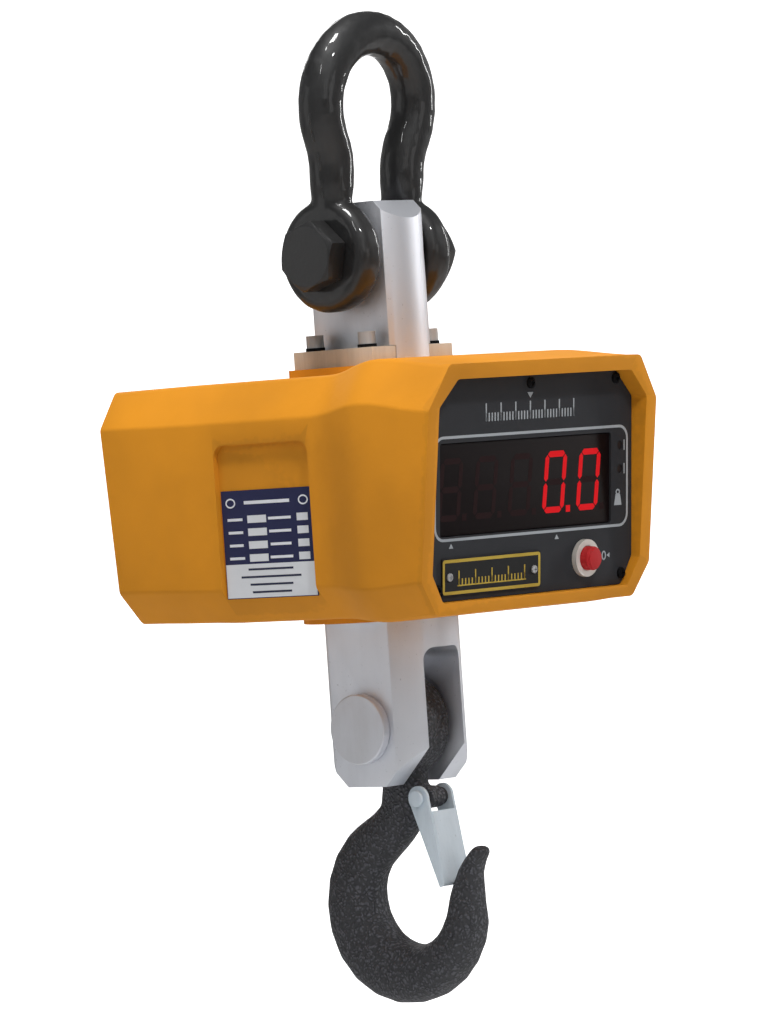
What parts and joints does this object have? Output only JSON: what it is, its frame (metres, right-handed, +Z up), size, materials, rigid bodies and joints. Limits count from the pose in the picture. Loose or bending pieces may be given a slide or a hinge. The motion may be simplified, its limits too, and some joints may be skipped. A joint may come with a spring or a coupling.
{
  "type": "crane scale",
  "caption": "Hanging electronic crane scale: bow shackle on a load bar, cast housing with a front display and push button, clevis with an eye hook and sprung latch.",
  "frame": {"origin": "seat of the crane's hook, at the inside top of the shackle's bow", "axes": "+Z up; -Y is the display side; +X is the right-hand side seen from the display"},
  "size_m": [0.172, 0.2242, 0.4812],
  "materials": {
    "battery_grey": "moulded case",
    "bezel_chrome": "polished",
    "black_bolt": "glossy black enamel",
    "black_forging": "glossy thick black enamel over a forging",
    "black_oxide": "black oxide",
    "board_green": "solder mask",
    "brass_spacer": "turned",
    "button_red": "glossy moulded",
    "cable": "smooth sheath",
    "data_blue": "printed foil",
    "hammered_black": "hammertone charcoal enamel",
    "keeper_steel": "matte nickel",
    "lead_red": "insulated wire",
    "module_black": "satin moulded plastic",
    "nameplate_black": "black field in a brass border",
    "orange_paint": "glossy amber-orange enamel over a casting",
    "panel_grey": "satin dark grey",
    "plain_steel": "plain sheet",
    "plated_pin": "nickel plated",
    "polished_steel": "nickel plated, polished round faces and satin flats",
    "rocker_red": "moulded",
    "rubber": "matte",
    "screw_steel": "bright machined",
    "spring_steel": "dark spring wire",
    "status_red": "unlit red lens",
    "window_red": "glossy near-black red acrylic",
    "zinc_sheet": "zinc plated"
  },
  "bodies": {
    "shackle": {"shackle_bow": "black_forging", "shackle_bolt": "black_bolt", "shackle_nut": "black_bolt"},
    "hook": {"eye_hook": "hammered_black", "latch_pin": "zinc_sheet", "latch_spring": "spring_steel"},
    "latch": {"safety_latch": "zinc_sheet"},
    "push_button": {"zero_button": "button_red"},
    "switch_rocker": {"power_rocker": "rocker_red"},
    "scale": {"load_cell": "polished_steel", "gauge_covers": "plain_steel", "load_cell_cable": "cable", "keeper_plate_left": "keeper_steel", "keeper_plate_right": "keeper_steel", "keeper_screws": "screw_steel", "keeper_spring_washers": "black_oxide", "housing": "orange_paint", "bar_seal": "rubber", "front_gasket": "rubber", "front_panel": "panel_grey", "panel_screws": "black_oxide", "display_window": "window_red", "digit_modules": "module_black", "display_board": "board_green", "display_spacers": "brass_spacer", "main_board": "board_green", "main_board_spacers": "brass_spacer", "status_lights": "status_red", "button_bezel": "bezel_chrome", "button_switch": "module_black", "button_nut": "screw_steel", "nameplate": "nameplate_black", "nameplate_screws": "screw_steel", "data_plate": "data_blue", "rear_gasket": "rubber", "rear_cover": "orange_paint", "rear_cover_screws": "screw_steel", "battery": "battery_grey", "battery_tray": "plain_steel", "battery_strap": "plain_steel", "tray_screws": "screw_steel", "battery_lead": "lead_red", "switch_frame": "module_black", "charging_socket": "module_black", "socket_nut": "screw_steel", "hook_pin": "plated_pin", "hook_pin_washer": "screw_steel", "hook_pin_ring": "black_oxide"}
  },
  "joints": [
    {"name": "shackle_swing", "type": "hinge", "parent": "shackle", "child": "scale", "pos_m": [0, 0.0092, -0.09556], "axis": [1, 0, 0], "range_deg": [-95, 95]},
    {"name": "hook_swing", "type": "hinge", "parent": "scale", "child": "hook", "pos_m": [0, 0.0092, -0.32396], "axis": [1, 0, 0], "range_deg": [-60, 60]},
    {"name": "latch_swing", "type": "hinge", "parent": "hook", "child": "latch", "pos_m": [0, -0.00829, -0.35926], "axis": [1, 0, 0], "range_deg": [0, 38], "stiffness_Nm_per_rad": 0.25, "springref_deg": -34.38},
    {"name": "button_press", "type": "slide", "parent": "scale", "child": "push_button", "axis": [0, 0.9962, 0.0872], "range_m": [0, 0.002], "stiffness_N_per_m": 600, "springref_m": -0.001},
    {"name": "rocker_tilt", "type": "hinge", "parent": "scale", "child": "switch_rocker", "pos_m": [-0.04, 0.11826, -0.24607], "axis": [1, 0, 0], "range_deg": [-18, 0]}
  ]
}
